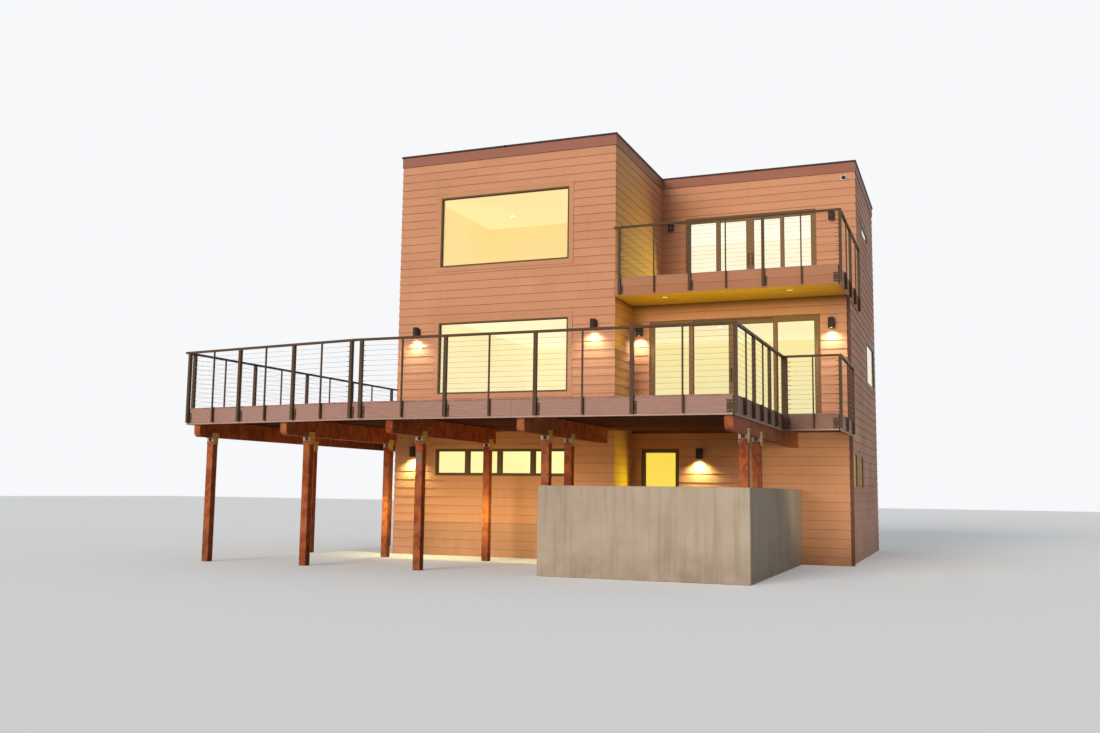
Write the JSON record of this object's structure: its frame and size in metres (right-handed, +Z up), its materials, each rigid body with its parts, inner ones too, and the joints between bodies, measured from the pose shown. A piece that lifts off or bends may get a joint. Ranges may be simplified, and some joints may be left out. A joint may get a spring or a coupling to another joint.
{
  "type": "beach house",
  "caption": "Three-storey modern beach house with flat roof, corner tower, recessed balcony, wide raised deck on timber posts, cable railings and large windows.",
  "frame": {"origin": "centre of the outer box at ground level, below the house", "axes": "+Z up, the street front with the deck faces -Y, +X to the right of someone who faces that front"},
  "size_m": [11.638, 13.0594, 8.883],
  "materials": {
    "siding": "painted boards, matte",
    "plaster": "painted plasterboard, matte",
    "roof_board": "stained, matte",
    "coping": "satin",
    "window_frame": "dark bronze, satin",
    "glass": "clear",
    "deck_board": "weathered composite, matte",
    "timber": "stained, matte",
    "cap_steel": "galvanised",
    "rail_metal": "dark bronze, satin",
    "concrete": "cast, matte",
    "lamp_metal": "bronze, satin",
    "downspout": "satin",
    "camera_plastic": "satin"
  },
  "bodies": {
    "root": {"tower_front_wall": "siding", "tower_left_wall": "siding", "tower_side_wall_lower": "siding", "tower_side_wall_upper": "siding", "recess_wall_lower": "siding", "recess_wall_upper": "siding", "side_wall_lower": "siding", "side_wall_upper": "siding", "rear_wall": "siding", "window_trim": "siding", "balcony_soffit": "siding", "middle_floor": "plaster", "upper_floor": "plaster", "roof_deck": "plaster", "upper_room_back_wall": "plaster", "roof_fascia": "roof_board", "roof_coping": "coping", "front_window_frames": "window_frame", "sliding_door_frames": "window_frame", "wide_window_frames": "window_frame", "small_window_frames": "window_frame", "front_window_glass": "glass", "sliding_door_glass": "glass", "side_and_rear_glass": "glass", "deck_boards": "deck_board", "balcony_boards": "deck_board", "deck_fascia": "deck_board", "balcony_fascia": "deck_board", "deck_joists": "timber", "deck_beams": "timber", "deck_posts": "timber", "balcony_joists": "timber", "post_caps": "cap_steel", "balcony_front_rail": "rail_metal", "balcony_side_rail": "rail_metal", "front_rail_left": "rail_metal", "front_rail_right": "rail_metal", "left_side_rail": "rail_metal", "back_rail": "rail_metal", "right_side_rail": "rail_metal", "walkway_front_rail": "rail_metal", "walkway_side_rail": "rail_metal", "ground_slab": "concrete", "concrete_post_wall": "concrete", "wall_lamps": "lamp_metal", "downspout": "downspout", "dome_camera": "camera_plastic"}
  },
  "joints": []
}
